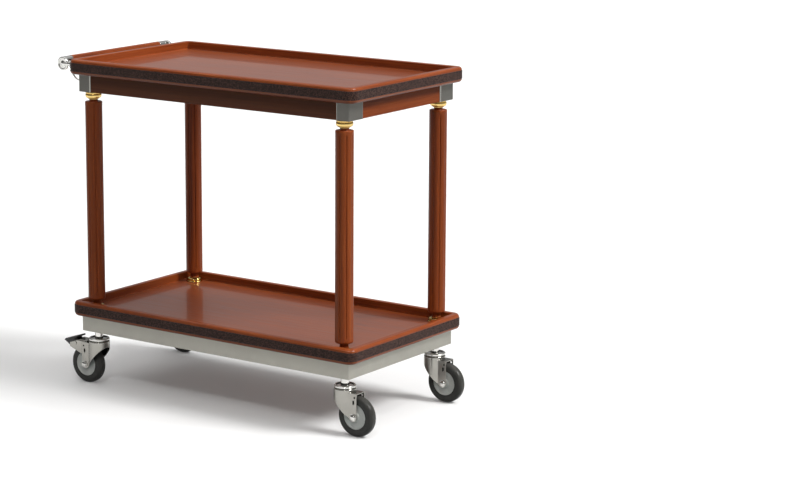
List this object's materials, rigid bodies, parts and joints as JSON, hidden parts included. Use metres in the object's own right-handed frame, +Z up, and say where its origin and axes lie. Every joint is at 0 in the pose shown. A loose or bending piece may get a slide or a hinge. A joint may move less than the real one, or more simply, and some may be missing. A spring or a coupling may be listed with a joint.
{
  "type": "serving trolley",
  "caption": "Serving trolley with an upper and a lower tray on reeded legs, a push handle at one end, and swivel casters with brakes at the handle end.",
  "frame": {"origin": "on the floor, under the middle of the whole length and width", "axes": "+X along the trolley away from the handle, +Y to the left when pushing towards +X, +Z up"},
  "size_m": [0.971, 0.48, 0.84],
  "materials": {
    "deck_wood": "glossy varnish over veneered plywood",
    "moulding_wood": "glossy varnish",
    "apron_wood": "glossy varnish",
    "leg_wood": "glossy varnish",
    "bumper": "dark, embossed",
    "block_steel": "satin",
    "chassis_steel": "satin",
    "fork_steel": "zinc plated",
    "chrome": "polished",
    "zinc": "zinc plated",
    "brass": "polished",
    "tyre": "matt",
    "hub_grey": "moulded",
    "bush_nylon": "moulded",
    "pedal_black": "moulded"
  },
  "bodies": {
    "frame": {"apron_rail_back": "apron_wood", "apron_rail_far_end": "apron_wood", "apron_rail_front": "apron_wood", "apron_rail_handle_end": "apron_wood", "caster_plates": "chassis_steel", "caster_stems": "chrome", "chassis_frame": "chassis_steel", "chassis_screws": "zinc", "corner_block_bl": "block_steel", "corner_block_br": "block_steel", "corner_block_fl": "block_steel", "corner_block_fr": "block_steel", "frame_nuts": "zinc", "handle_bar": "leg_wood", "handle_bracket_back": "chrome", "handle_bracket_front": "chrome", "handle_ferrules": "chrome", "handle_screws": "zinc", "leg_bl": "leg_wood", "leg_br": "leg_wood", "leg_collars": "brass", "leg_fl": "leg_wood", "leg_fr": "leg_wood", "lower_bumper_band": "bumper", "lower_deck": "deck_wood", "lower_moulding_back": "moulding_wood", "lower_moulding_far_end": "moulding_wood", "lower_moulding_front": "moulding_wood", "lower_moulding_handle_end": "moulding_wood", "tie_rods": "zinc", "upper_bumper_band": "bumper", "upper_deck": "deck_wood", "upper_moulding_back": "moulding_wood", "upper_moulding_far_end": "moulding_wood", "upper_moulding_front": "moulding_wood", "upper_moulding_handle_end": "moulding_wood"},
    "swivel_fl": {"fork_fl": "fork_steel", "axle_fl": "chrome", "brake_housing_fl": "fork_steel"},
    "wheel_fl": {"hub_fl": "hub_grey", "tyre_fl": "tyre", "wheel_bush_fl": "bush_nylon"},
    "swivel_fr": {"fork_fr": "fork_steel", "axle_fr": "chrome"},
    "wheel_fr": {"hub_fr": "hub_grey", "tyre_fr": "tyre", "wheel_bush_fr": "bush_nylon"},
    "swivel_bl": {"fork_bl": "fork_steel", "axle_bl": "chrome", "brake_housing_bl": "fork_steel"},
    "wheel_bl": {"hub_bl": "hub_grey", "tyre_bl": "tyre", "wheel_bush_bl": "bush_nylon"},
    "swivel_br": {"fork_br": "fork_steel", "axle_br": "chrome"},
    "wheel_br": {"hub_br": "hub_grey", "tyre_br": "tyre", "wheel_bush_br": "bush_nylon"},
    "pedal_fl": {"brake_pedal_fl": "pedal_black"},
    "pedal_bl": {"brake_pedal_bl": "pedal_black"}
  },
  "joints": [
    {"name": "caster_swivel_fl", "type": "hinge", "parent": "frame", "child": "swivel_fl", "pos_m": [-0.3745, -0.192, 0.1], "axis": [0, 0, 1], "continuous": true},
    {"name": "wheel_spin_fl", "type": "hinge", "parent": "swivel_fl", "child": "wheel_fl", "pos_m": [-0.4105, -0.192, 0.05], "axis": [0, 1, 0], "continuous": true},
    {"name": "caster_swivel_fr", "type": "hinge", "parent": "frame", "child": "swivel_fr", "pos_m": [0.3995, -0.192, 0.1], "axis": [0, 0, 1], "continuous": true},
    {"name": "wheel_spin_fr", "type": "hinge", "parent": "swivel_fr", "child": "wheel_fr", "pos_m": [0.4355, -0.192, 0.05], "axis": [0, 1, 0], "continuous": true},
    {"name": "caster_swivel_bl", "type": "hinge", "parent": "frame", "child": "swivel_bl", "pos_m": [-0.3745, 0.192, 0.1], "axis": [0, 0, 1], "continuous": true},
    {"name": "wheel_spin_bl", "type": "hinge", "parent": "swivel_bl", "child": "wheel_bl", "pos_m": [-0.4105, 0.192, 0.05], "axis": [0, 1, 0], "continuous": true},
    {"name": "caster_swivel_br", "type": "hinge", "parent": "frame", "child": "swivel_br", "pos_m": [0.3995, 0.192, 0.1], "axis": [0, 0, 1], "continuous": true},
    {"name": "wheel_spin_br", "type": "hinge", "parent": "swivel_br", "child": "wheel_br", "pos_m": [0.4355, 0.192, 0.05], "axis": [0, 1, 0], "continuous": true},
    {"name": "brake_press_fl", "type": "hinge", "parent": "swivel_fl", "child": "pedal_fl", "pos_m": [-0.4405, -0.192, 0.1015], "axis": [0, -1, 0], "range_deg": [0, 12]},
    {"name": "brake_press_bl", "type": "hinge", "parent": "swivel_bl", "child": "pedal_bl", "pos_m": [-0.4405, 0.192, 0.1015], "axis": [0, -1, 0], "range_deg": [0, 12]}
  ]
}
